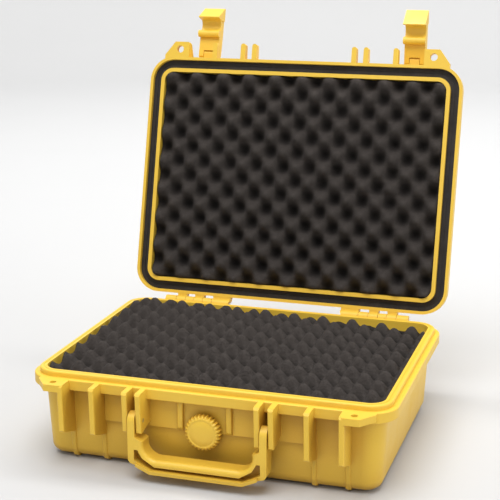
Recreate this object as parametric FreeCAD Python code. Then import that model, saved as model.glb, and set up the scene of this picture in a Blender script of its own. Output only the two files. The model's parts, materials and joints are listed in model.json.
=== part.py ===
"""Hard protective instrument case: clamshell box with foam, two draw latches, a carrying
handle, a purge valve and two pinned hinges.  Millimetres.  X runs along the front, Y goes
from the front to the hinges, Z is up, and z = 0 is the surface that the runners stand on.
The lid is drawn closed and then turned open about the hinge axis."""

import FreeCAD, Part
import math
import os

from FreeCAD import Placement, Rotation, Vector

# ---- driving dimensions -------------------------------------------------------------
WIDTH = 330.0                # rim, left to right
DEPTH = 248.2                # rim, front to back
CORNER = 25.0                # outer corner radius of the rim
LEDGE = 79.1                 # height of the ledge that the closed lid comes down to
CLOSED_GAP = 0.3             # gap between the ledge and the closed lid
SKIRT = 9.6                  # height of the rim band on either shell
CASE_HEIGHT = 120.0          # closed height
RUNNER = 2.3                 # runners stand this far below the floor of the base
SETBACK = 9.3                # wall set back behind the rim band
BOTTOM_INSET = 13.0          # wall inset at the very bottom
TOP_INSET = 13.0             # wall inset at the top of the lid
FLOOR = 3.5                  # floor and roof thickness
EDGE_FILLET = 9.0            # rounding of the bottom and top edges

TONGUE_OUT = 4.8             # inset of the raised lip on the base, outer face
TONGUE_IN = 11.3             # inset of its inner face, which is the mouth of the base
TONGUE_HEIGHT = 4.8
FLOOR_IN = 15.8              # inset of the cavity at the floor
GROOVE_OUT = 3.0             # inset of the seal groove in the lid, outer wall
GROOVE_IN = 11.9
GROOVE_DEPTH = 8.8
LIP_IN = 15.8                # inset of the lid's inner lip
SEAL_THICK = 3.7
LID_UNDER = LEDGE + CLOSED_GAP
LID_BAND_TOP = LEDGE + GROOVE_DEPTH + 2.2

RIB = 5.0                    # thickness of the front ribs
RIB_FRONT = 140.0            # distance of their front edge from the middle plane
RIB_CENTRES = (52.8, 65.1, 95.7, 125.2)
RIB_BOTTOMS = (42.4, 42.4, 35.9, 35.3)
LID_TAB_IN = 124.5           # inner face of the lid's tab and of the rib beside it
TAB_THICK = 6.2
TAB_HOLE = 3.0               # radius of the padlock hole in the base
LID_TAB_HOLE = 3.75          # and in the lid
TAB_HOLE_X = 134.2
TAB_HOLE_Y = -132.2

PIN = 2.0                    # radius of every steel pin
RUN = 0.05                   # radial running clearance on a pin
HINGE_Y = DEPTH / 2 + 7.4
HINGE_Z = LEDGE + 0.4
HINGE_R = 4.9
OPEN_ANGLE = 104.5
BASE_KNUCKLES = ((78.2, 87.8), (98.2, 106.6), (117.2, 128.8))
LID_KNUCKLES = ((59.0, 77.8), (88.2, 97.8), (107.0, 116.8))

LATCH_X = 110.8              # middle of a latch
LATCH_Y = -132.0             # latch pivot, lid closed
LATCH_Z = LEDGE + 26.3
LATCH_WIDTH = 22.8           # width of the bead, the hook and the finger lip
PLATE_WIDTH = 21.2           # width of the plate between them
LATCH_PIN = 1.5              # radius of the latch pin
LUG_THICK = 5.2
LUG_WIDTH = 10.0             # lug of the lid between the two arms of the latch
BEAD_R = 3.8
BEAD_IN = 5.5                # bead centre: inward and down from the pivot
BEAD_DOWN = 20.4
LATCH_REST = {"left": 92.9, "right": 76.0}   # how far each latch stands open

HANDLE_Y = -132.4            # handle pivot
HANDLE_Z = 53.3
ARM_IN = 55.8                # inner and outer face of a handle arm
ARM_OUT = 62.1
HANDLE_FRONT = -140.2
FLANGE_PROUD = 3.0           # lower flange of the handle stands out this far
HANDLE_DROP = 44.6           # from the pins down to the lowest edge

VALVE_Z = 43.9               # height of the valve's axis
KNOB_R = 16.3
KNOB_TEETH = 28
KNOB_FACE = -125.2           # places along Y, from the knob's face inwards
KNOB_BACK = -117.7
FLANGE_FRONT = -117.4
GASKET_FRONT = -116.4
PANEL_FRONT = -DEPTH / 2 + SETBACK - 1.0
ORING_Y = -114.4
STEM_END = -112.2
WASHER_FRONT = -109.7
NUT_FRONT = -108.8
NUT_BACK = -104.9
VALVE_BACK = -103.9
STEM_R = 4.0
FLANGE_R = 10.5
VALVE_BORE = 7.0             # radius of the hole in the wall
ORING_SECTION = 0.7

PAD_TOP = 50.5               # top of the flat foam block in the base
SHEET_TOP = 77.9             # mean height of the egg-crate sheet in the base
LID_SHEET = 81.9             # mean height of the lid's egg-crate sheet, lid closed


# ---- small helpers ------------------------------------------------------------------
def rounded_wire(width, depth, radius, z):
    """Closed wire of a rounded rectangle about the origin."""
    x = width / 2
    y = depth / 2
    diag = radius * (1 - math.sqrt(0.5))
    edges = []
    corners = ((1, -1), (1, 1), (-1, 1), (-1, -1))
    starts = []
    for sx, sy in corners:
        a = Vector(sx * (x - radius), sy * y, z)
        b = Vector(sx * x, sy * (y - radius), z)
        if sx * sy > 0:
            a, b = b, a
        starts.append((a, Vector(sx * (x - diag), sy * (y - diag), z), b))
    for i, (a, mid, b) in enumerate(starts):
        edges.append(Part.Arc(a, mid, b).toShape())
        edges.append(Part.LineSegment(b, starts[(i + 1) % 4][0]).toShape())
    return Part.Wire(edges)


def ring_size(inset_x, inset_y=None):
    """Width and depth of the rim rectangle moved in by an inset."""
    if inset_y is None:
        inset_y = inset_x
    return WIDTH - 2 * inset_x, DEPTH - 2 * inset_y


def prism(inset, z0, z1, radius=None):
    """Rounded block inside the rim rectangle, moved in by an inset."""
    width, depth = ring_size(inset)
    if radius is None:
        radius = max(CORNER - inset, 9.0)
    face = Part.Face(rounded_wire(width, depth, radius, z0))
    return face.extrude(Vector(0, 0, z1 - z0))


def taper(inset0, z0, inset1, z1, radius0, radius1):
    """Straight-sided loft between two rounded rectangles; an inset may be an (x, y) pair."""
    pair0 = inset0 if isinstance(inset0, tuple) else (inset0, inset0)
    pair1 = inset1 if isinstance(inset1, tuple) else (inset1, inset1)
    low = rounded_wire(*ring_size(*pair0), radius0, z0)
    high = rounded_wire(*ring_size(*pair1), radius1, z1)
    return Part.makeLoft([low, high], True, True)


def box(x0, x1, y0, y1, z0, z1):
    return Part.makeBox(x1 - x0, y1 - y0, z1 - z0, Vector(x0, y0, z0))


def rod(x0, x1, y, z, radius):
    """Cylinder along X."""
    return Part.makeCylinder(radius, x1 - x0, Vector(x0, y, z), Vector(1, 0, 0))


def side_plate(points, x0, x1):
    """Plate of constant thickness along X with a straight-edged outline in Y and Z."""
    loop = [Vector(x0, y, z) for y, z in points]
    face = Part.Face(Part.makePolygon(loop + [loop[0]]))
    return face.extrude(Vector(x1 - x0, 0, 0))


def plan_plate(points, z0, z1):
    """Plate of constant thickness along Z with a straight-edged outline in X and Y."""
    loop = [Vector(x, y, z0) for x, y in points]
    face = Part.Face(Part.makePolygon(loop + [loop[0]]))
    return face.extrude(Vector(0, 0, z1 - z0))


def fuse(shapes):
    """One clean solid out of several that overlap, joined one after another."""
    whole = shapes[0]
    for shape in shapes[1:]:
        whole = whole.fuse(shape)
    return whole.removeSplitter()


def both_sides(shapes):
    """The shapes and their mirror images across the middle plane x = 0."""
    return shapes + [s.mirror(Vector(0, 0, 0), Vector(1, 0, 0)) for s in shapes]


def edges_at(shape, z):
    """Edges that lie wholly at one height."""
    found = []
    for edge in shape.Edges:
        limits = edge.BoundBox
        if abs(limits.ZMin - z) < 0.01 and abs(limits.ZMax - z) < 0.01:
            found.append(edge)
    return found


def turned(shape, angle, y, z):
    """Turn a shape about a line along X through (y, z); degrees, right-handed."""
    result = shape.copy()
    result.rotate(Vector(0, y, z), Vector(1, 0, 0), angle)
    return result


def opened(shape):
    """Move a shape from the closed lid's place to the open lid's place."""
    return turned(shape, -OPEN_ANGLE, HINGE_Y, HINGE_Z)


def save(name, shape):
    shape.exportStep("parts/" + name + ".step")
    print(name, "valid" if shape.isValid() else "INVALID", round(shape.Volume / 1000, 2), "cm3")


# ---- base ---------------------------------------------------------------------------
def base_outside():
    """Tapered tub with a rounded bottom, the rim band and the raised lip."""
    tub = taper(BOTTOM_INSET, RUNNER, SETBACK, LEDGE - SKIRT + 1.0, 15.0, 18.0)
    tub = tub.makeFillet(EDGE_FILLET, edges_at(tub, RUNNER))
    band = prism(0.0, LEDGE - SKIRT, LEDGE)
    band = band.makeFillet(1.0, edges_at(band, LEDGE - SKIRT) + edges_at(band, LEDGE))
    tongue = prism(TONGUE_OUT, LEDGE - 1.0, LEDGE + TONGUE_HEIGHT)
    tongue = tongue.makeFillet(1.6, edges_at(tongue, LEDGE + TONGUE_HEIGHT))
    return [tub, band, tongue]


def ring_line(inset, z0, z1):
    """Narrow ring that is cut as a fine line around a rim."""
    ring = prism(inset - 0.35, z0, z1)
    return ring.cut(prism(inset + 0.35, z0 - 1.0, z1 + 1.0))


def base_ribs():
    """Deep ribs under the rim at the front: handle lugs, latch guides and tab supports."""
    ribs = []
    wall_y = -DEPTH / 2 + SETBACK + 4.0
    for centre, bottom in zip(RIB_CENTRES, RIB_BOTTOMS):
        rise = 6.0 if bottom > 38.0 else -8.5
        outline = (
            (wall_y, LEDGE),
            (-RIB_FRONT + 1.6, LEDGE),
            (-RIB_FRONT, LEDGE - 2.0),
            (-RIB_FRONT + 1.8, bottom + 1.5),
            (-RIB_FRONT + 3.3, bottom),
            (wall_y, bottom + rise),
        )
        rib = side_plate(outline, centre - RIB / 2, centre + RIB / 2)
        ribs.append(rib.makeFillet(1.3, [e for e in rib.Edges if is_nose(e)]))
    return ribs


def is_nose(edge):
    """Upright front edges of a rib."""
    limits = edge.BoundBox
    return limits.YMax < -RIB_FRONT + 3.4 and limits.ZLength > 5.0 and limits.XLength < 0.1


def base_runners():
    """Low ribs that carry on down the walls and under the floor as feet."""
    runners = []
    top_y = DEPTH / 2 - SETBACK + 1.0
    low_y = DEPTH / 2 - BOTTOM_INSET + 1.7
    outline = (
        (-top_y, 53.0),
        (-low_y, 9.5),
        (-low_y + 2.4, 3.4),
        (-low_y + 8.5, 0.0),
        (low_y - 8.5, 0.0),
        (low_y - 2.4, 3.4),
        (low_y, 9.5),
        (top_y, 53.0),
    )
    for centre in RIB_CENTRES[2:]:
        runner = side_plate(outline, centre - 2.5, centre + 2.5)
        runners.append(runner.makeFillet(1.8, [e for e in runner.Edges if e.BoundBox.XLength < 0.1]))
    return runners


def centre_foot():
    """Flat pad under the middle of the floor, level with the runners."""
    pad = box(-30.0, 30.0, -18.0, 18.0, 0.0, RUNNER + 1.0)
    return pad.makeFillet(6.0, [e for e in pad.Edges if e.BoundBox.ZLength > 1.0])


def padlock_tab(z0, inner_x):
    """Flat ear beside the latch, with a slanted outer end."""
    y_out = -RIB_FRONT
    outline = (
        (inner_x, -118.0),
        (inner_x, y_out),
        (140.0, y_out),
        (150.6, -126.0),
        (150.6, -116.0),
    )
    tab = plan_plate(outline, z0, z0 + TAB_THICK)
    tab = tab.makeFillet(1.5, [e for e in tab.Edges if is_front_corner(e)])
    return tab


def is_front_corner(edge):
    limits = edge.BoundBox
    return limits.YMax < -RIB_FRONT + 0.1 and limits.ZLength > 1.0


def valve_ribs():
    ribs = []
    wall_y = -DEPTH / 2 + SETBACK
    outline = (
        (wall_y + 3.0, LEDGE - SKIRT),
        (wall_y - 4.4, LEDGE - SKIRT),
        (wall_y - 4.0, 44.9),
        (wall_y - 2.0, 42.3),
        (wall_y + 3.0, 42.3),
    )
    rib = side_plate(outline, 19.2, 24.8)
    ribs.append(rib.makeFillet(1.5, [e for e in rib.Edges if is_small_nose(e)]))
    return ribs


def is_small_nose(edge):
    limits = edge.BoundBox
    return limits.YMax < -DEPTH / 2 + SETBACK - 3.0 and limits.ZLength > 5.0


def front_band():
    """Slightly raised panel across the front between the latch bays."""
    wall_y = -DEPTH / 2 + SETBACK
    return box(-93.0, 93.0, wall_y - 1.0, wall_y + 3.0, 42.2, LEDGE - SKIRT + 0.5)


def base_knuckles():
    knuckles = []
    y_in = DEPTH / 2 - 4.0
    outline = (
        (y_in, LEDGE),
        (HINGE_Y + HINGE_R - 0.1, LEDGE),
        (HINGE_Y + 3.2, LEDGE - 3.8),
        (DEPTH / 2 - SETBACK + 1.0, LEDGE - 24.0),
        (DEPTH / 2 - SETBACK - 1.0, LEDGE - 10.0),
    )
    for x0, x1 in BASE_KNUCKLES:
        knuckles.append(rod(x0, x1, HINGE_Y, HINGE_Z, HINGE_R))
        knuckles.append(side_plate(outline, x0, x1))
    return knuckles


def base_shell():
    solids = base_outside() + [front_band(), centre_foot()]
    details = base_ribs() + base_runners() + valve_ribs() + base_knuckles()
    details.append(padlock_tab(LEDGE - TAB_THICK, RIB_CENTRES[3] - 0.6))
    shell = fuse(solids + both_sides(details))
    cavity = fuse([
        taper(FLOOR_IN, RUNNER + FLOOR, TONGUE_IN, LEDGE, 11.0, CORNER - TONGUE_IN),
        prism(TONGUE_IN, LEDGE - 0.5, LEDGE + TONGUE_HEIGHT + 5.0, CORNER - TONGUE_IN),
    ])
    shell = shell.cut(cavity).cut(ring_line(8.4, LEDGE + TONGUE_HEIGHT - 0.5, LEDGE + TONGUE_HEIGHT + 1.0))
    for sign in (-1, 1):
        hole = Part.makeCylinder(TAB_HOLE, 30, Vector(sign * TAB_HOLE_X, TAB_HOLE_Y, 55))
        shell = shell.cut(hole)
        shell = shell.cut(handle_pin_rod(sign, 0.0))
        shell = shell.cut(hinge_pin_rod(sign, 0.0))
    bore = Part.makeCylinder(VALVE_BORE, 20, Vector(0, -120, VALVE_Z), Vector(0, 1, 0))
    return shell.cut(bore).removeSplitter()


# ---- pins ---------------------------------------------------------------------------
def handle_pin_rod(sign, extra):
    x0 = RIB_CENTRES[0] - RIB / 2
    x1 = RIB_CENTRES[1] + RIB / 2 - 1.2
    low, high = sorted((sign * x0, sign * x1))
    return rod(low, high, HANDLE_Y, HANDLE_Z, PIN + extra)


def hinge_pin_rod(sign, extra):
    low, high = sorted((sign * LID_KNUCKLES[0][0], sign * (BASE_KNUCKLES[2][1] - 1.5)))
    return rod(low, high, HINGE_Y, HINGE_Z, PIN + extra)


def latch_pin_rod(sign, extra):
    half = PLATE_WIDTH / 2 - 0.3
    centre = sign * LATCH_X
    return rod(centre - half, centre + half, LATCH_Y, LATCH_Z, LATCH_PIN + extra)


# ---- lid ----------------------------------------------------------------------------
def lid_outside():
    """Rim band and a shallow tapered roof with rounded edges."""
    band = prism(0.0, LID_UNDER, LID_BAND_TOP)
    band = band.makeFillet(1.0, edges_at(band, LID_BAND_TOP))
    roof = taper(SETBACK, LID_BAND_TOP - 1.0, TOP_INSET - 2.0, CASE_HEIGHT, 18.0, 16.0)
    roof = roof.makeFillet(EDGE_FILLET, edges_at(roof, CASE_HEIGHT))
    return [band, roof]


def lid_ribs():
    """Shallow ribs on the front of the lid and the gusset beside each padlock tab."""
    ribs = []
    wall_y = -DEPTH / 2 + SETBACK + 3.5
    starts = [c - RIB / 2 for c in RIB_CENTRES[:3]] + [LID_TAB_IN]
    for x0 in starts:
        gusset = x0 == LID_TAB_IN
        outline = (
            (wall_y, LID_UNDER),
            (-RIB_FRONT, LID_UNDER),
            (-RIB_FRONT, LID_UNDER + 7.4),
            (-DEPTH / 2, LID_UNDER + (17.0 if gusset else 9.6)),
            (wall_y, LID_UNDER + (19.0 if gusset else 12.0)),
        )
        rib = side_plate(outline, x0, x0 + RIB)
        ribs.append(rib.makeFillet(2.3, [e for e in rib.Edges if is_rib_nose(e)]))
    return ribs


def latch_lug():
    """Lug that stands out from the lid between the arms of a latch and holds its pin."""
    wall_y = -DEPTH / 2 + SETBACK + 3.5
    root = LUG_THICK / 2
    outline = (
        (LATCH_Y, LATCH_Z - root),
        (LATCH_Y, LATCH_Z + root),
        (wall_y, LATCH_Z + root + 5.0),
        (wall_y, LATCH_Z - root),
    )
    x0 = LATCH_X - LUG_WIDTH / 2
    x1 = LATCH_X + LUG_WIDTH / 2
    return side_plate(outline, x0, x1).fuse(rod(x0, x1, LATCH_Y, LATCH_Z, root))


def bead_pocket(sign):
    """Shallow pocket in the lid's rim band that the latch's bead snaps into."""
    half = LATCH_WIDTH / 2 + 0.6
    centre = sign * LATCH_X
    low = LATCH_Z - BEAD_DOWN - BEAD_R
    high = LATCH_Z - BEAD_DOWN + BEAD_R
    return box(centre - half, centre + half, -DEPTH / 2 - 1.0, -DEPTH / 2 + 1.8, low - 0.7, high + 0.6)


def is_rib_nose(edge):
    limits = edge.BoundBox
    return limits.YMax < -RIB_FRONT + 0.1 and limits.ZLength > 5.0


def lid_knuckles():
    knuckles = []
    y_in = DEPTH / 2 - 4.0
    outline = (
        (y_in, LID_UNDER + 0.3),
        (HINGE_Y + HINGE_R - 0.1, LID_UNDER + 0.3),
        (HINGE_Y + 3.2, HINGE_Z + 3.7),
        (DEPTH / 2, LEDGE + 8.6),
        (DEPTH / 2 - 1.5, LID_BAND_TOP),
        (y_in, LID_BAND_TOP),
    )
    for x0, x1 in LID_KNUCKLES:
        knuckles.append(rod(x0, x1, HINGE_Y, HINGE_Z, HINGE_R))
        knuckles.append(side_plate(outline, x0, x1))
    inner_x = LID_KNUCKLES[0][0]
    corner = (
        (inner_x - 1.0, HINGE_Y - 3.5),
        (inner_x, HINGE_Y - 3.5),
        (inner_x + 3.4, HINGE_Y + HINGE_R + 1.0),
        (inner_x - 1.0, HINGE_Y + HINGE_R + 1.0),
    )
    slant = plan_plate(corner, LEDGE - 10.0, LEDGE + 20.0)
    return [knuckle.cut(slant) for knuckle in knuckles]


def roof_ribs():
    """Raised stacking runners on the roof, in line with the runners of the base."""
    ribs = []
    half = DEPTH / 2 - TOP_INSET - EDGE_FILLET
    for centre in RIB_CENTRES[2:]:
        rib = box(centre - 3.0, centre + 3.0, -half, half, CASE_HEIGHT - 2.0, CASE_HEIGHT + 1.2)
        ribs.append(rib)
    return ribs


def lid_shell_closed():
    details = lid_ribs() + lid_knuckles() + roof_ribs() + [latch_lug()]
    details.append(padlock_tab(LID_UNDER, LID_TAB_IN))
    shell = fuse(lid_outside() + both_sides(details))
    lip_top = LID_BAND_TOP + 2.0
    cavity = fuse([
        prism(LIP_IN, LID_UNDER - 5.0, lip_top + 0.5, 10.0),
        taper(SETBACK + 3.2, lip_top, TOP_INSET + 1.5, CASE_HEIGHT - FLOOR, 14.0, 11.0),
    ])
    groove = prism(GROOVE_OUT, LID_UNDER - 1.0, LEDGE + GROOVE_DEPTH)
    groove = groove.cut(prism(GROOVE_IN, LID_UNDER - 2.0, LEDGE + GROOVE_DEPTH + 1.0))
    shell = shell.cut(cavity).cut(groove)
    for sign in (-1, 1):
        hole = Part.makeCylinder(LID_TAB_HOLE, 30, Vector(sign * TAB_HOLE_X, TAB_HOLE_Y, 62))
        shell = shell.cut(hole).cut(bead_pocket(sign))
        shell = shell.cut(hinge_pin_rod(sign, RUN))
        shell = shell.cut(latch_pin_rod(sign, 0.0))
    return shell.removeSplitter()


def lid_seal_closed():
    """Sponge rubber gasket at the bottom of the lid's groove, with a line along it."""
    top = LEDGE + GROOVE_DEPTH
    ring = prism(GROOVE_OUT, top - SEAL_THICK, top)
    ring = ring.cut(prism(GROOVE_IN, top - SEAL_THICK - 1.0, top + 1.0))
    middle = (GROOVE_OUT + GROOVE_IN) / 2
    line = prism(middle - 0.5, top - SEAL_THICK - 1.0, top - SEAL_THICK + 0.7)
    line = line.cut(prism(middle + 0.5, top - SEAL_THICK - 2.0, top - SEAL_THICK + 2.0))
    return ring.cut(line)


# ---- latch --------------------------------------------------------------------------
def beside(points):
    """Face at x = 0 from (inward, down) points counted from the pivot of a hanging latch."""
    loop = [Vector(0, LATCH_Y + inward, LATCH_Z - down) for inward, down in points]
    return Part.Face(Part.makePolygon(loop + [loop[0]]))


def wide(face, width):
    """Extrude a side view along X, centred on x = 0."""
    solid = face.extrude(Vector(width, 0, 0))
    solid.translate(Vector(-width / 2, 0, 0))
    return solid


def latch_plate():
    """Side view of the plate: inner face hollowed between the bead and the hook."""
    def at(inward, down):
        return Vector(0, LATCH_Y + inward, LATCH_Z - down)

    edges = [
        Part.LineSegment(at(-5.4, -4.4), at(1.8, -4.4)).toShape(),
        Part.LineSegment(at(1.8, -4.4), at(3.2, -3.0)).toShape(),
        Part.LineSegment(at(3.2, -3.0), at(2.6, 23.6)).toShape(),
        Part.Arc(at(2.6, 23.6), at(-0.3, 29.6), at(3.0, 35.8)).toShape(),
        Part.LineSegment(at(3.0, 35.8), at(2.0, 42.0)).toShape(),
        Part.LineSegment(at(2.0, 42.0), at(-8.3, 42.0)).toShape(),
        Part.Arc(at(-8.3, 42.0), at(-9.0, 20.0), at(-8.0, -1.4)).toShape(),
        Part.LineSegment(at(-8.0, -1.4), at(-5.4, -4.4)).toShape(),
    ]
    return Part.Face(Part.Wire(edges))


def latch_head():
    """Side view of the hook and the long sloping finger lip beyond it."""
    return beside((
        (2.6, 35.6),
        (11.4, 36.6),
        (11.8, 37.4),
        (-6.6, 50.2),
        (-8.2, 49.8),
        (-8.6, 36.4),
    ))


def latch_slot(sign):
    """Space between the two arms of a latch, open towards the lid's lug."""
    half = LUG_WIDTH / 2 + 0.4
    centre = sign * LATCH_X
    outer = LATCH_Y - 6.2
    foot = LATCH_Z - LUG_THICK / 2 - 0.4
    return box(centre - half, centre + half, outer, LATCH_Y + 9.0, foot, LATCH_Z + 9.0)


def latch_closed(sign):
    """One-piece lever hanging shut: two arms, plate, full-width bead, hook and finger lip."""
    half = LATCH_WIDTH / 2
    bead = rod(-half, half, LATCH_Y + BEAD_IN, LATCH_Z - BEAD_DOWN, BEAD_R)
    plate = wide(latch_plate(), PLATE_WIDTH)
    lever = fuse([plate, bead, wide(latch_head(), LATCH_WIDTH)])
    lever = lever.makeFillet(0.6, [e for e in lever.Edges if is_lip_edge(e)])
    lever.translate(Vector(sign * LATCH_X, 0, 0))
    bore = rod(sign * LATCH_X - 20, sign * LATCH_X + 20, LATCH_Y, LATCH_Z, LATCH_PIN + RUN)
    return lever.cut(latch_slot(sign)).cut(bore)


def is_lip_edge(edge):
    """Long edges at the tip of the finger lip."""
    limits = edge.BoundBox
    return limits.XLength > LATCH_WIDTH - 0.1 and limits.ZMax < LATCH_Z - 49.0


def latch(sign, side):
    """Latch turned open by its rest angle, then carried open with the lid."""
    return opened(turned(latch_closed(sign), -LATCH_REST[side], LATCH_Y, LATCH_Z))


# ---- handle -------------------------------------------------------------------------
def front_plate(points, y0, y1):
    """Plate of constant thickness along Y with a straight-edged outline in X and Z."""
    loop = [Vector(x, y0, z) for x, z in points]
    face = Part.Face(Part.makePolygon(loop + [loop[0]]))
    return face.extrude(Vector(0, y1 - y0, 0))


def mirrored_outline(points):
    """Right-hand half of an outline followed by its mirror image."""
    return list(points) + [(-x, z) for x, z in reversed(points)]


def handle():
    """U-shaped grip with a channel along its front, hanging from two pins."""
    back_y = HANDLE_Y + 7.8
    top_z = HANDLE_Z + 7.8
    low_z = HANDLE_Z - HANDLE_DROP
    outer = mirrored_outline((
        (ARM_OUT, top_z),
        (ARM_OUT, low_z + 10.0),
        (60.2, low_z + 7.2),
        (54.6, low_z + 5.8),
        (41.6, low_z),
    ))
    body = front_plate(outer, HANDLE_FRONT, back_y)
    body = body.cut(grip_opening(back_y, low_z))
    body = body.cut(box(-60.0, 60.0, back_y - 2.6, back_y + 1.0, low_z - 1.0, low_z + 11.5))
    body = body.makeFillet(4.2, [e for e in body.Edges if is_grip_edge(e, low_z)])
    for sign in (-1, 1):
        body = round_arm_end(body, sign)
        low, high = sorted((sign * (ARM_IN - 1), sign * (ARM_OUT + 1)))
        body = body.cut(rod(low, high, HANDLE_Y, HANDLE_Z, PIN + RUN))
    body = body.cut(handle_channel(low_z))
    return body.fuse(handle_flange(low_z)).removeSplitter()


def grip_opening(back_y, low_z):
    """Finger opening: straight between the arms, then a round sweep into the grip."""
    arm = HANDLE_Z - 15.6
    bottom = low_z + 11.6
    y = HANDLE_FRONT - 1.0
    right = (Vector(48.6, y, arm - 1.6), Vector(45.2, y, bottom + 3.6), Vector(35.0, y, bottom))
    left = [Vector(-p.x, p.y, p.z) for p in right]
    corner_r = Vector(ARM_IN, y, arm + 2.0)
    corner_l = Vector(-ARM_IN, y, arm + 2.0)
    top_r = Vector(ARM_IN, y, HANDLE_Z + 12.0)
    top_l = Vector(-ARM_IN, y, HANDLE_Z + 12.0)
    edges = [
        Part.LineSegment(top_r, corner_r).toShape(),
        Part.LineSegment(corner_r, right[0]).toShape(),
        Part.Arc(*right).toShape(),
        Part.LineSegment(right[2], left[2]).toShape(),
        Part.Arc(left[2], left[1], left[0]).toShape(),
        Part.LineSegment(left[0], corner_l).toShape(),
        Part.LineSegment(corner_l, top_l).toShape(),
        Part.LineSegment(top_l, top_r).toShape(),
    ]
    face = Part.Face(Part.Wire(edges))
    return face.extrude(Vector(0, back_y - y + 1.0, 0))


def handle_flange(low_z):
    """Lower lip of the channel, which stands out in front of the grip."""
    outline = mirrored_outline((
        (54.6, low_z + 9.2),
        (54.6, low_z + 5.8),
        (41.6, low_z),
    ))
    island = mirrored_outline((
        (60.0, low_z + 11.8),
        (54.6, low_z + 8.6),
        (41.0, low_z + 3.0),
    ))
    flange = front_plate(outline, HANDLE_FRONT - FLANGE_PROUD, HANDLE_FRONT + 2.0)
    return flange.cut(front_plate(island, HANDLE_FRONT - 9.0, HANDLE_FRONT + 9.0))


def is_grip_edge(edge, low_z):
    """Inner front edges of the grip, between the arms."""
    limits = edge.BoundBox
    on_front = abs(limits.YMin - HANDLE_FRONT) < 0.01 and limits.YLength < 0.01
    inside = max(abs(limits.XMin), abs(limits.XMax)) < 48.7
    return on_front and inside and limits.ZMin > low_z + 11.5 and limits.ZMax < HANDLE_Z - 17.0


def round_arm_end(body, sign):
    low, high = sorted((sign * (ARM_IN - 1), sign * (ARM_OUT + 1)))
    end = box(low, high, HANDLE_Y - 9, HANDLE_Y + 9, HANDLE_Z, HANDLE_Z + 9)
    end = end.cut(rod(low - 1, high + 1, HANDLE_Y, HANDLE_Z, 7.8))
    return body.cut(end)


def handle_channel(low_z):
    """Groove along the front of the grip, widening at the arms."""
    outline = mirrored_outline((
        (56.6, low_z + 20.0),
        (56.6, low_z + 10.2),
        (41.0, low_z + 3.0),
    ))
    island = mirrored_outline((
        (54.8, low_z + 22.5),
        (49.2, low_z + 12.8),
        (38.0, low_z + 5.9),
    ))
    groove = front_plate(outline, HANDLE_FRONT - 5.0, HANDLE_FRONT + 9.0)
    return groove.cut(front_plate(island, HANDLE_FRONT - 6.0, HANDLE_FRONT + 10.0))


# ---- purge valve --------------------------------------------------------------------
def valve_turn(points):
    """Solid of revolution about the valve axis from (radius, y) points."""
    loop = [Vector(r, y, VALVE_Z) for r, y in points]
    face = Part.Face(Part.makePolygon(loop + [loop[0]]))
    return face.revolve(Vector(0, 0, VALVE_Z), Vector(0, 1, 0), 360)


def purge_knob():
    """Round knob with a toothed edge, a gently domed face and a grooved stem."""
    disc = valve_turn((
        (0.0, KNOB_FACE - 0.6),
        (9.0, KNOB_FACE - 0.35),
        (KNOB_R - 0.7, KNOB_FACE),
        (KNOB_R, KNOB_FACE + 0.7),
        (KNOB_R, KNOB_BACK),
        (STEM_R, KNOB_BACK),
        (STEM_R, ORING_Y - 0.85),
        (2.5, ORING_Y - 0.85),
        (2.5, ORING_Y + 0.85),
        (STEM_R, ORING_Y + 0.85),
        (STEM_R, STEM_END),
        (0.0, STEM_END),
    ))
    cutters = []
    for i in range(KNOB_TEETH):
        angle = 2 * math.pi * i / KNOB_TEETH
        x = (KNOB_R + 0.45) * math.cos(angle)
        z = VALVE_Z + (KNOB_R + 0.45) * math.sin(angle)
        cutters.append(Part.makeCylinder(1.45, 12, Vector(x, -128, z), Vector(0, 1, 0)))
    return disc.cut(Part.makeCompound(cutters))


def knob_oring():
    """Small O-ring in the groove of the knob's stem."""
    centre = Vector(0, ORING_Y, VALVE_Z)
    radius = STEM_R - ORING_SECTION
    return Part.makeTorus(radius, ORING_SECTION, centre, Vector(0, 1, 0))


def valve_body():
    """Bush through the wall, with a flange outside and an air passage along it."""
    return valve_turn((
        (STEM_R + RUN, FLANGE_FRONT),
        (FLANGE_R, FLANGE_FRONT),
        (FLANGE_R, GASKET_FRONT),
        (VALVE_BORE - 0.1, GASKET_FRONT),
        (VALVE_BORE - 0.1, VALVE_BACK),
        (2.2, VALVE_BACK),
        (2.2, -111.8),
        (STEM_R + RUN, -111.8),
    ))


def valve_disc(radius, y0, y1):
    """Flat ring around the bush."""
    ring = Part.makeCylinder(radius, y1 - y0, Vector(0, y0, VALVE_Z), Vector(0, 1, 0))
    hole = Part.makeCylinder(VALVE_BORE - 0.1, 20, Vector(0, -120, VALVE_Z), Vector(0, 1, 0))
    return ring.cut(hole)


def valve_gasket():
    return valve_disc(FLANGE_R - 0.5, GASKET_FRONT, PANEL_FRONT)


def valve_washer():
    return valve_disc(11.0, WASHER_FRONT, NUT_FRONT)


def valve_nut():
    """Hexagonal nut that clamps the bush from inside."""
    hexagon = []
    for i in range(6):
        angle = math.radians(60 * i)
        x = FLANGE_R * math.cos(angle)
        z = VALVE_Z + FLANGE_R * math.sin(angle)
        hexagon.append(Vector(x, NUT_FRONT, z))
    face = Part.Face(Part.makePolygon(hexagon + [hexagon[0]]))
    nut = face.extrude(Vector(0, NUT_BACK - NUT_FRONT, 0))
    hole = Part.makeCylinder(VALVE_BORE - 0.1, 20, Vector(0, -120, VALVE_Z), Vector(0, 1, 0))
    return nut.cut(hole)


# ---- foam ---------------------------------------------------------------------------
def nut_pocket():
    """Notch in the foam that leaves room for the valve's nut."""
    return Part.makeCylinder(12.6, 12, Vector(0, -114, VALVE_Z), Vector(0, 1, 0))


def base_foam_block():
    low = RUNNER + FLOOR + 0.3
    block = taper(FLOOR_IN + 1.2, low, 14.2, PAD_TOP, 10.0, 11.0)
    return block.cut(nut_pocket())


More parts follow.
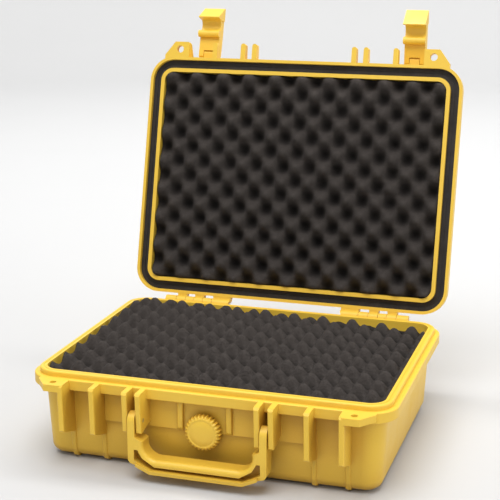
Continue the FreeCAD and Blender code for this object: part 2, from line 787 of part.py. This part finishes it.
def base_foam_sheet():
    sheet = taper(14.2, PAD_TOP + 0.3, TONGUE_IN + 1.9, SHEET_TOP, 11.0, 12.0)
    return sheet.cut(nut_pocket())


def lid_foam_closed():
    middle = LID_BAND_TOP + 2.0
    top = CASE_HEIGHT - FLOOR - 0.4
    low = prism(LIP_IN + 0.4, LID_SHEET, middle, 9.6)
    high = taper(LIP_IN + 0.4, middle, TOP_INSET + 3.6, top, 9.6, 10.0)
    return low.fuse(high).removeSplitter()


# ---- build --------------------------------------------------------------------------
def main():
    os.makedirs("parts", exist_ok=True)
    save("base_shell", base_shell())
    save("lid_shell", opened(lid_shell_closed()))
    save("lid_seal", opened(lid_seal_closed()))
    save("base_foam_block", base_foam_block())
    save("base_foam_sheet", base_foam_sheet())
    save("lid_foam_sheet", opened(lid_foam_closed()))
    save("handle", handle())
    save("purge_knob", purge_knob())
    save("knob_oring", knob_oring())
    save("valve_body", valve_body())
    save("valve_gasket", valve_gasket())
    save("valve_washer", valve_washer())
    save("valve_nut", valve_nut())
    for side, sign in (("left", -1), ("right", 1)):
        save("latch_" + side, latch(sign, side))
        save("latch_pin_" + side, opened(latch_pin_rod(sign, 0.0)))
        save("handle_pin_" + side, handle_pin_rod(sign, 0.0))
        save("hinge_pin_" + side, hinge_pin_rod(sign, 0.0))


main()
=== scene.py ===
"""Looks of the hard protective instrument case: egg-crate foam, materials, light and camera."""
import bpy
import bmesh
import json
import math
from mathutils import Matrix, Vector, noise


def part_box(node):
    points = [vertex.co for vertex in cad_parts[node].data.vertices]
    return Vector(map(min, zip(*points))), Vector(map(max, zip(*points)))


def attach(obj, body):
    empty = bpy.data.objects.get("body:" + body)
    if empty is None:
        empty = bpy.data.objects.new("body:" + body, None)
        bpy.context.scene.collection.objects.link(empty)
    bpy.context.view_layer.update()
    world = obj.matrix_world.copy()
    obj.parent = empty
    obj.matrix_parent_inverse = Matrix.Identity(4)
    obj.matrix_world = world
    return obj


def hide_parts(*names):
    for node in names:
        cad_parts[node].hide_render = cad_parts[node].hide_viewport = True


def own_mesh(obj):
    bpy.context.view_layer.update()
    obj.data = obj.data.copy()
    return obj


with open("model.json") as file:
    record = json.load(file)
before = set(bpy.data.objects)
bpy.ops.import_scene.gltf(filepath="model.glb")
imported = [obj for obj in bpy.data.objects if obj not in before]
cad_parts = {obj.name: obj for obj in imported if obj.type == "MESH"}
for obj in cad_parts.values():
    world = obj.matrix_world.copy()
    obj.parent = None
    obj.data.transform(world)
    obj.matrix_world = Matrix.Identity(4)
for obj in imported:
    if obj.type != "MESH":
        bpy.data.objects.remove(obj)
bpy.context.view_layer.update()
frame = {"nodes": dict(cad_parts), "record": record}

# ---- the case's own measures, in metres -------------------------------------------------
WIDTH, DEPTH = 0.330, 0.2482
LEDGE = 0.0791
HINGE = Vector((0.0, DEPTH / 2 + 0.0074, LEDGE + 0.0004))
OPEN_ANGLE = math.radians(-104.5)
TURN = Matrix.Rotation(OPEN_ANGLE, 4, "X")
OPENED = Matrix.Translation(HINGE) @ TURN @ Matrix.Translation(-HINGE)
MM = 0.001
UP = (0.0, 0.0, 1.0)


# ---- camera, light and floor ------------------------------------------------------------
def add_camera():
    data = bpy.data.cameras.new("camera")
    data.lens = 94.25
    data.sensor_width = 36.0
    data.shift_x = -0.0072
    data.shift_y = 0.0097
    data.clip_start = 0.05
    data.clip_end = 50.0
    camera = bpy.data.objects.new("camera", data)
    camera.location = (0.35032, -1.10601, 0.4752)
    forward = Vector((-0.28624, 0.92390, -0.25393))
    camera.rotation_euler = forward.to_track_quat("-Z", "Y").to_euler()
    bpy.context.collection.objects.link(camera)
    bpy.context.scene.camera = camera


def add_area(name, place, target, size, power):
    data = bpy.data.lights.new(name, "AREA")
    data.shape = "RECTANGLE"
    data.size, data.size_y = size
    data.energy = power
    light = bpy.data.objects.new(name, data)
    light.location = place
    aim = Vector(target) - Vector(place)
    light.rotation_euler = aim.to_track_quat("-Z", "Y").to_euler()
    bpy.context.collection.objects.link(light)


def add_world():
    world = bpy.data.worlds.new("studio")
    world.use_nodes = True
    background = world.node_tree.nodes["Background"]
    background.inputs["Color"].default_value = (1.0, 1.0, 1.0, 1.0)
    background.inputs["Strength"].default_value = 0.42
    bpy.context.scene.world = world
    bpy.context.scene.view_settings.view_transform = "Standard"


def add_floor():
    """Round floor that curves up into a backdrop on every side."""
    flat, bend, height, steps = 2.6, 1.2, 3.4, 12
    profile = [(0.02, 0.0), (1.2, 0.0), (flat, 0.0)]
    for step in range(1, steps + 1):
        turn = math.pi / 2 * step / steps
        profile.append((flat + bend * math.sin(turn), bend - bend * math.cos(turn)))
    profile.append((flat + bend, height))
    around, rings = 64, len(profile)
    points, faces = [], []
    for k in range(around):
        cs, sn = math.cos(2 * math.pi * k / around), math.sin(2 * math.pi * k / around)
        points += [(r * cs, r * sn, z) for r, z in profile]
        one, two = k * rings, (k + 1) % around * rings
        faces += [(one + i, one + i + 1, two + i + 1, two + i) for i in range(rings - 1)]
    faces.append([k * rings for k in range(around)])
    mesh = bpy.data.meshes.new("floor")
    mesh.from_pydata(points, [], faces)
    for face in mesh.polygons:
        face.use_smooth = True
    floor = bpy.data.objects.new("floor", mesh)
    bpy.context.collection.objects.link(floor)
    mesh.materials.append(floor_material())


# ---- materials --------------------------------------------------------------------------
PAINTED_SHADE_REACH = 0.045                # distance at which a wall still paints shade into the plastic's colour
EDGE_WEAR = 0.0011               # width of the rubbed edges


class Tree:
    """Shorthand for building a material's node tree."""

    def __init__(self, name):
        self.material = bpy.data.materials.new(name)
        self.material.use_nodes = True
        self.tree = self.material.node_tree
        self.shader = self.tree.nodes["Principled BSDF"]

    def node(self, kind, links=None, **settings):
        made = self.tree.nodes.new(kind)
        for key, value in settings.items():
            setattr(made, key, value)
        for socket, value in (links or {}).items():
            self.feed(made, socket, value)
        return made

    def feed(self, node, socket, value):
        if isinstance(value, bpy.types.NodeSocket):
            self.tree.links.new(value, node.inputs[socket])
        else:
            node.inputs[socket].default_value = value

    def set(self, socket, value):
        self.feed(self.shader, socket, value)

    def place(self):
        return self.node("ShaderNodeTexCoord").outputs["Object"]

    def noise(self, scale, detail=3.0, rough=0.5):
        links = {"Vector": self.place(), "Scale": scale, "Detail": detail, "Roughness": rough}
        return self.node("ShaderNodeTexNoise", links).outputs["Fac"]

    def cells(self, scale):
        links = {"Vector": self.place(), "Scale": scale}
        return self.node("ShaderNodeTexVoronoi", links).outputs["Distance"]

    def spread(self, value, low, high, out_low=0.0, out_high=1.0):
        """Maps low..high to out_low..out_high, clamped."""
        links = {"Value": value, 1: low, 2: high, 3: out_low, 4: out_high}
        return self.node("ShaderNodeMapRange", links).outputs["Result"]

    def blend(self, factor, first, second):
        """Mixes two colours; sockets 6 and 7 are the mix node's colour inputs."""
        links = {"Factor": factor, 6: first, 7: second}
        return self.node("ShaderNodeMix", links, data_type="RGBA").outputs[2]

    def maths(self, operation, first, second):
        links = {0: first, 1: second}
        return self.node("ShaderNodeMath", links, operation=operation).outputs[0]

    def times(self, first, second):
        return self.maths("MULTIPLY", first, second)

    def along(self, direction):
        """How far the surface point lies along a direction."""
        links = {0: self.place(), 1: direction}
        dot = self.node("ShaderNodeVectorMath", links, operation="DOT_PRODUCT")
        return dot.outputs["Value"]

    def sheltered(self, reach):
        """0 deep in a recess, 1 in the open."""
        links = {"Distance": reach}
        return self.node("ShaderNodeAmbientOcclusion", links, samples=6).outputs["AO"]

    def worn_edge(self, radius):
        """1 where the surface turns within that radius, 0 on open faces."""
        bevel = self.node("ShaderNodeBevel", {"Radius": radius}, samples=4).outputs["Normal"]
        normal = self.node("ShaderNodeNewGeometry").outputs["Normal"]
        dot = self.node("ShaderNodeVectorMath", {0: bevel, 1: normal}, operation="DOT_PRODUCT")
        return self.spread(dot.outputs["Value"], 0.995, 0.86)

    def relief(self, *layers):
        """Stacks (height, strength, distance) layers into one bump."""
        normal = None
        for height, strength, distance in layers:
            links = {"Height": height, "Strength": strength, "Distance": distance}
            if normal:
                links["Normal"] = normal
            normal = self.node("ShaderNodeBump", links).outputs["Normal"]
        self.set("Normal", normal)


def tinted(colour, shares):
    """A colour with each channel scaled, with its alpha."""
    return [min(1.0, c * share) for c, share in zip(colour, shares)] + [1.0]


def plastic(name, colour, grain, rough):
    """Moulded plastic: fine grain, faint flow marks, rubbed edges, and painted shade darkening
    the sheltered bays below the rim.
    """
    tree = Tree(name)
    deep = tinted(colour, (0.90, 0.85, 0.66))
    pale = tinted(colour, (1.05, 1.08, 1.50))
    painted_shade_colour = tinted(colour, (0.60, 0.50, 0.42))
    flow = tree.spread(tree.noise(9.0, 4.0, 0.55), 0.34, 0.68)
    speckle = tree.spread(tree.noise(420.0, 2.0), 0.3, 0.7)
    base = tree.blend(tree.times(flow, 0.32), tinted(colour, (1.0, 1.0, 1.0)), deep)
    base = tree.blend(tree.times(speckle, 0.10), base, deep)
    # painted shade: below the rim, bays sheltered by nearby walls get a darker colour
    shade = tree.spread(tree.sheltered(PAINTED_SHADE_REACH), 0.25, 0.92, 0.84, 0.0)
    below_rim = tree.spread(tree.along(UP), LEDGE - 0.004, LEDGE - 0.012)
    base = tree.blend(tree.times(below_rim, shade), base, painted_shade_colour)
    patchy = tree.spread(tree.noise(60.0, 5.0, 0.65), 0.36, 0.66)
    wear = tree.times(tree.worn_edge(EDGE_WEAR), patchy)
    base = tree.blend(tree.times(wear, 0.5), base, pale)
    tree.set("Base Color", base)
    scuffs = tree.spread(tree.noise(34.0, 6.0, 0.7), 0.4, 0.72, rough - 0.06, rough + 0.10)
    tree.set("Roughness", tree.maths("SUBTRACT", scuffs, tree.times(wear, 0.12)))
    tree.set("Specular IOR Level", 0.42)
    tree.relief(
        (tree.noise(26.0, 3.0, 0.5), 0.10, 0.0012),
        (tree.noise(1900.0, 2.0, 0.6), grain, 0.00012),
        (tree.cells(1100.0), grain * 0.55, 0.00010),
    )
    return tree.material


def foam_material(name, middle, wave, lean):
    """Open-cell foam with pores; painted shade darkens its colour along lean from the middle
    down to the hollows.
    """
    tree = Tree(name)
    pores = tree.cells(1500.0)
    tuft = tree.spread(tree.noise(520.0, 4.0, 0.65), 0.32, 0.70)
    patch = tree.spread(tree.noise(17.0, 4.0, 0.6), 0.35, 0.68)
    # painted shade: the colour goes dark in the hollows between the bumps, where shade falls
    height = tree.spread(tree.along(lean), middle - wave, middle)
    base = tree.blend(height, (0.0055, 0.0047, 0.0042, 1.0), (0.066, 0.056, 0.050, 1.0))
    base = tree.blend(tree.times(tuft, 0.36), base, (0.022, 0.0188, 0.0176, 1.0))
    base = tree.blend(tree.times(patch, 0.22), base, (0.055, 0.046, 0.042, 1.0))
    tree.set("Base Color", base)
    tree.set("Roughness", tree.spread(pores, 0.0, 0.8, 0.98, 0.86))
    tree.set("Specular IOR Level", 0.18)
    tree.relief(
        (tree.noise(150.0, 5.0, 0.65), 0.6, 0.0018),
        (tuft, 0.8, 0.0009),
        (pores, 0.8, 0.0006),
    )
    return tree.material


def rubber_material():
    """Sponge rubber with a little pale dust."""
    tree = Tree("seal_sponge")
    dust = tree.spread(tree.noise(40.0, 5.0, 0.65), 0.38, 0.75)
    clean, dusty = (0.020, 0.0165, 0.0150, 1.0), (0.052, 0.045, 0.040, 1.0)
    tree.set("Base Color", tree.blend(tree.times(dust, 0.5), clean, dusty))
    tree.set("Roughness", tree.spread(tree.noise(200.0, 3.0), 0.3, 0.7, 0.55, 0.74))
    tree.set("Specular IOR Level", 0.35)
    tree.relief(
        (tree.noise(30.0, 2.0), 0.12, 0.001),
        (tree.noise(1500.0, 2.0, 0.6), 0.35, 0.00015),
    )
    return tree.material


def steel_material():
    """Ground pin steel with fine lines along the pins (X) and faint stains."""
    tree = Tree("ground_steel")
    stretch = {"Vector": tree.place(), "Scale": (40.0, 1600.0, 1600.0)}
    place = tree.node("ShaderNodeMapping", stretch).outputs[0]
    links = {"Vector": place, "Scale": 1.0, "Detail": 2.0}
    lines = tree.node("ShaderNodeTexNoise", links).outputs["Fac"]
    stain = tree.spread(tree.noise(120.0, 4.0, 0.6), 0.4, 0.7)
    bright, stained = (0.58, 0.57, 0.55, 1.0), (0.38, 0.36, 0.33, 1.0)
    tree.set("Base Color", tree.blend(tree.times(stain, 0.4), bright, stained))
    tree.set("Metallic", 1.0)
    tree.set("Roughness", tree.spread(lines, 0.3, 0.7, 0.24, 0.42))
    tree.relief((lines, 0.3, 0.00008))
    return tree.material


def floor_material():
    """Pale matt paper."""
    tree = Tree("floor_paper")
    mottle = tree.spread(tree.noise(3.0, 4.0, 0.5), 0.3, 0.7)
    plain, darker = (0.56, 0.56, 0.56, 1.0), (0.54, 0.54, 0.54, 1.0)
    tree.set("Base Color", tree.blend(tree.times(mottle, 0.3), plain, darker))
    tree.set("Roughness", tree.spread(mottle, 0.0, 1.0, 0.75, 0.85))
    tree.set("Specular IOR Level", 0.2)
    return tree.material


# ---- foam -------------------------------------------------------------------------------
SAMPLE = 0.0019                  # grid step of the egg-crate surfaces
PAD_SAMPLE = 0.006               # grid step of the flat pad
BASE_LATTICE = (-0.1286, 0.1025, 0.0297, 0.0278, math.radians(0.9))
LID_LATTICE = (-0.12865, -0.10335, 0.0286, 0.02975, math.radians(0.35))
BASE_INSET, PAD_INSET, LID_INSET = 0.0119, 0.0152, 0.0162    # gap to the outside of the case
BASE_CORNER, PAD_CORNER, LID_CORNER = 0.0132, 0.011, 0.0096  # corner radius, from above
BASE_TAPER, PAD_TAPER = (0.990, 0.986), (0.986, 0.982)       # width and depth of the foot
BASE_MEAN, BASE_WAVE = 0.0783, 0.0083
LID_MEAN, LID_WAVE = 0.0819, 0.0078
LID_HOLLOW = 0.86                # the lid's hollows, as a share of its tips
PAD_FOOT, PAD_TOP = 0.0062, 0.0504
PAD_SHADE = 0.025                # below this height the pad's sides darken with painted shade
BASE_FOOT = 0.0508               # flat underside of the base sheet
LID_BACK = 0.1154                # flat back of the lid sheet, with the lid shut
SHUT_CEILING = 0.0860            # bumps beside the wall stop here, under the shut lid's lip
LIP_COVER, LIP_FADE = 0.0042, 0.004          # how far in that holds, and then fades out
NO_CEILING = 0.010               # rise of the ceiling that clears every bump
TWIST = 0.0039                   # rise of the back left corner and drop of the back right
CORNER_X, CORNER_Y = 0.150, 0.110
TUFT = 0.0008                    # height of the unevenness of cut foam
EDGE_ROLL = 0.0016               # drop of the foam's rolled edges
CRATE_ROLL, PAD_ROLL = 0.0022, 0.006         # width of those edges


def crest(x, y, lattice):
    """Height of the egg-crate wave at a point, from -1 in a hollow to 1 on a tip."""
    x0, y0, pitch_x, pitch_y, turn = lattice
    cs, sn = math.cos(turn), math.sin(turn)
    u, v = (x * cs + y * sn) - x0, (y * cs - x * sn) - y0
    wave = math.cos(2 * math.pi * u / pitch_x) * math.cos(2 * math.pi * v / pitch_y)
    return 1.18 * wave - 0.18 * wave ** 3


def ragged(x, y, seed):
    """Unevenness of cut foam: slow swells and small torn tufts, about -1 to 1."""
    swell = noise.noise(Vector((40.0 * x, 40.0 * y, seed)))
    tuft = noise.noise(Vector((210.0 * x, 210.0 * y, seed + 5.0)))
    return 0.9 * swell + 0.7 * tuft


def rounded_grid(half_x, half_y, radius, step):
    """Rows of points that fill a rectangle with round corners."""
    nx, ny = round(2 * half_x / step), round(2 * half_y / step)
    rows = []
    for j in range(ny + 1):
        y = -half_y + 2 * half_y * j / ny
        over = max(0.0, abs(y) - (half_y - radius))
        reach = half_x - radius + math.sqrt(max(0.0, radius ** 2 - over ** 2))
        rows.append([(reach * (2 * i / nx - 1), y) for i in range(nx + 1)])
    return rows


def closed_block(name, rows, top_of, foot_of, layers):
    """Closed solid between two height fields; layers are the rungs of its side walls."""
    bm = bmesh.new()
    ny, nx = len(rows) - 1, len(rows[0]) - 1
    upper = [[bm.verts.new(top_of(x, y)) for x, y in row] for row in rows]
    lower = [[bm.verts.new(foot_of(x, y)) for x, y in row] for row in rows]
    for j in range(ny):
        for i in range(nx):
            bm.faces.new((upper[j][i], upper[j][i + 1], upper[j + 1][i + 1], upper[j + 1][i]))
            bm.faces.new((lower[j][i], lower[j + 1][i], lower[j + 1][i + 1], lower[j][i + 1]))
    ring = [(0, i) for i in range(nx)] + [(j, nx) for j in range(ny)]
    ring += [(ny, i) for i in range(nx, 0, -1)] + [(j, 0) for j in range(ny, 0, -1)]
    columns = []
    for j, i in ring:
        head, foot = upper[j][i], lower[j][i]
        column = [head]
        for k in range(1, layers):
            column.append(bm.verts.new(head.co.lerp(foot.co, k / layers)))
        columns.append(column + [foot])
    for one, two in zip(columns, columns[1:] + columns[:1]):
        for k in range(layers):
            bm.faces.new((one[k], one[k + 1], two[k + 1], two[k]))
    bmesh.ops.recalc_face_normals(bm, faces=bm.faces)
    mesh = bpy.data.meshes.new(name)
    bm.to_mesh(mesh)
    bm.free()
    for face in mesh.polygons:
        face.use_smooth = True
    piece = bpy.data.objects.new(name, mesh)
    bpy.context.collection.objects.link(piece)
    return piece


def edge_distance(x, y, half_x, half_y, radius):
    """How far a point lies inside a rectangle with round corners."""
    dx, dy = abs(x) - (half_x - radius), abs(y) - (half_y - radius)
    outside = math.hypot(max(dx, 0.0), max(dy, 0.0))
    return radius - outside - min(max(dx, dy), 0.0)


def rolled_edge(inside, width):
    """How far the surface has rolled down at a point inside the edge."""
    return EDGE_ROLL * max(0.0, 1.0 - inside / width) ** 2


def base_eggcrate():
    """Bumps on a slightly twisted sheet, low beside the wall where the shut lid presses."""
    half_x, half_y, radius = WIDTH / 2 - BASE_INSET, DEPTH / 2 - BASE_INSET, BASE_CORNER
    rows = rounded_grid(half_x, half_y, radius, SAMPLE)

    def top_of(x, y):
        tilt = -TWIST * (x / CORNER_X) * ((y + CORNER_Y) / (2 * CORNER_Y))
        inside = edge_distance(x, y, half_x, half_y, radius)
        z = BASE_MEAN + tilt + BASE_WAVE * crest(x, y, BASE_LATTICE) + TUFT * ragged(x, y, 1.0)
        past_lip = min(1.0, max(0.0, (inside - LIP_COVER) / LIP_FADE))
        ceiling = SHUT_CEILING + NO_CEILING * past_lip
        return (x, y, min(z, ceiling) - rolled_edge(inside, CRATE_ROLL))

    def foot_of(x, y):
        return (x * BASE_TAPER[0], y * BASE_TAPER[1], BASE_FOOT)

    return closed_block("foam_base_eggcrate", rows, top_of, foot_of, 8)


def base_pad():
    """Flat foam layer under the egg-crate sheet, with tapering sides."""
    half_x, half_y, radius = WIDTH / 2 - PAD_INSET, DEPTH / 2 - PAD_INSET, PAD_CORNER
    rows = rounded_grid(half_x, half_y, radius, PAD_SAMPLE)

    def top_of(x, y):
        inside = edge_distance(x, y, half_x, half_y, radius)
        return (x, y, PAD_TOP - rolled_edge(inside, PAD_ROLL))

    def foot_of(x, y):
        return (x * PAD_TAPER[0], y * PAD_TAPER[1], PAD_FOOT)

    return closed_block("foam_base_pad", rows, top_of, foot_of, 8)


def lid_eggcrate():
    """Bumps that point down, shaped with the lid shut and then turned open with it."""
    half_x, half_y, radius = WIDTH / 2 - LID_INSET, DEPTH / 2 - LID_INSET, LID_CORNER
    rows = rounded_grid(half_x, half_y, radius, SAMPLE)

    def top_of(x, y):
        inside = edge_distance(x, y, half_x, half_y, radius)
        wave = crest(x, y, LID_LATTICE)
        wave = wave if wave > 0.0 else LID_HOLLOW * wave
        z = LID_MEAN + LID_WAVE * wave + TUFT * ragged(x, y, 2.0)
        return (x, y, z + rolled_edge(inside, CRATE_ROLL))

    def foot_of(x, y):
        return (x, y, LID_BACK)

    piece = closed_block("foam_lid_eggcrate", rows, top_of, foot_of, 6)
    piece.data.transform(OPENED)
    return piece


def add_foam():
    base, pad, lid = base_eggcrate(), base_pad(), lid_eggcrate()
    out = OPENED.to_3x3() @ Vector((0.0, 0.0, -1.0))
    face = (OPENED @ Vector((0.0, 0.0, LID_MEAN))).dot(out)
    base.data.materials.append(foam_material("foam_open_cell_base", BASE_MEAN, BASE_WAVE, UP))
    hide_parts("base_foam_sheet")
    pad.data.materials.append(foam_material("foam_open_cell_pad", PAD_SHADE, PAD_SHADE, UP))
    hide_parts("base_foam_block")
    lid.data.materials.append(foam_material("foam_open_cell_lid", face, LID_WAVE, tuple(out)))
    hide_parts("lid_foam_sheet")
    for piece, body in ((base, "base"), (pad, "base"), (lid, "lid")):
        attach(piece, body)
    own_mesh(base)
    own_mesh(lid)


# ---- purge knob -------------------------------------------------------------------------
TEETH = 28
TOOTH, VALLEY = 0.68, 0.85       # teeth above the profile and valleys below it, in mm
GROOVE_GAP = 0.05                # play of the rubber ring in its groove, in mm
KNOB_PROFILE = (                 # radius and place along Y in mm, and share of the teeth
    (0.4, -125.60, 0.0), (6.0, -125.50, 0.0), (10.6, -125.20, 0.0), (11.1, -124.90, 0.0),
    (11.8, -124.90, 0.0), (12.3, -125.15, 0.0), (13.0, -125.05, 0.1), (13.9, -124.60, 0.5),
    (14.8, -123.80, 0.95), (15.4, -122.60, 1.0), (15.6, -121.20, 1.0), (15.6, -119.00, 1.0),
    (15.2, -118.00, 0.9), (14.0, -117.70, 0.3), (4.0, -117.70, 0.0),
)


def toothed_knob(look):
    """Knob with scalloped teeth over its front edge, a ring line and a grooved stem."""
    low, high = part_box("purge_knob")
    axis_z = (low[2] + high[2]) / 2
    ring_low, ring_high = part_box("knob_oring")
    front, back = ring_low[1] / MM - GROOVE_GAP, ring_high[1] / MM + GROOVE_GAP
    stem_end = high[1] / MM
    groove = [(4.0, front), (2.5, front), (2.5, back), (4.0, back)]
    stem = groove + [(4.0, stem_end), (0.4, stem_end)]
    profile = list(KNOB_PROFILE) + [(r, y, 0.0) for r, y in stem]
    around = TEETH * 12
    bm = bmesh.new()
    rings = []
    for radius, along, share in profile:
        ring = []
        for k in range(around):
            angle = 2 * math.pi * k / around
            wave = math.cos(TEETH * angle)
            r = MM * (radius + share * wave * (TOOTH if wave > 0.0 else VALLEY))
            point = (r * math.cos(angle), MM * along, axis_z + r * math.sin(angle))
            ring.append(bm.verts.new(point))
        rings.append(ring)
    for one, two in zip(rings, rings[1:]):
        for k in range(around):
            bm.faces.new((one[k], one[(k + 1) % around], two[(k + 1) % around], two[k]))
    bm.faces.new(rings[0])
    bm.faces.new(rings[-1])
    bmesh.ops.recalc_face_normals(bm, faces=bm.faces)
    for face in bm.faces:
        face.smooth = True
    for edge in bm.edges:
        edge.smooth = edge.calc_face_angle() < math.radians(50)
    mesh = bpy.data.meshes.new("knob_toothed")
    bm.to_mesh(mesh)
    bm.free()
    mesh.materials.append(look)
    knob = bpy.data.objects.new("knob_toothed", mesh)
    bpy.context.collection.objects.link(knob)
    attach(knob, "purge_knob")
    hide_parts("purge_knob")


# ---- materials of the CAD parts ---------------------------------------------------------
SHELL_YELLOW = (0.85, 0.555, 0.060)
TRIM_YELLOW = (0.86, 0.565, 0.063)


def dress_parts():
    looks = {
        "yellow_shell": plastic("shell_polypropylene", SHELL_YELLOW, 0.35, 0.46),
        "yellow_trim": plastic("trim_nylon", TRIM_YELLOW, 0.16, 0.40),
        "seal_rubber": rubber_material(),
        "steel": steel_material(),
    }
    for row in frame["record"]["subparts"]:
        look = looks.get(row["material_slot"])
        if look:
            part = frame["nodes"][row["node"]]
            part.data.materials.clear()
            part.data.materials.append(look)
    toothed_knob(looks["yellow_trim"])


add_camera()
add_world()
# name, place, target, size and power
add_area("key", (0.0, -0.95, 2.2), (0.0, 0.0, 0.1), (1.7, 1.3), 38.0)
add_area("front", (0.1, -1.9, 1.15), (0.0, 0.1, 0.25), (1.3, 0.8), 4.5)
add_area("right", (2.1, -0.3, 0.9), (0.0, 0.0, 0.15), (1.2, 1.2), 12.0)
add_area("top", (-0.2, 0.3, 2.3), (0.0, 0.0, 0.1), (1.6, 1.6), 8.0)
add_area("backdrop", (0.0, 0.9, 2.6), (0.0, 3.2, 0.6), (3.5, 1.0), 110.0)
add_floor()
dress_parts()
add_foam()
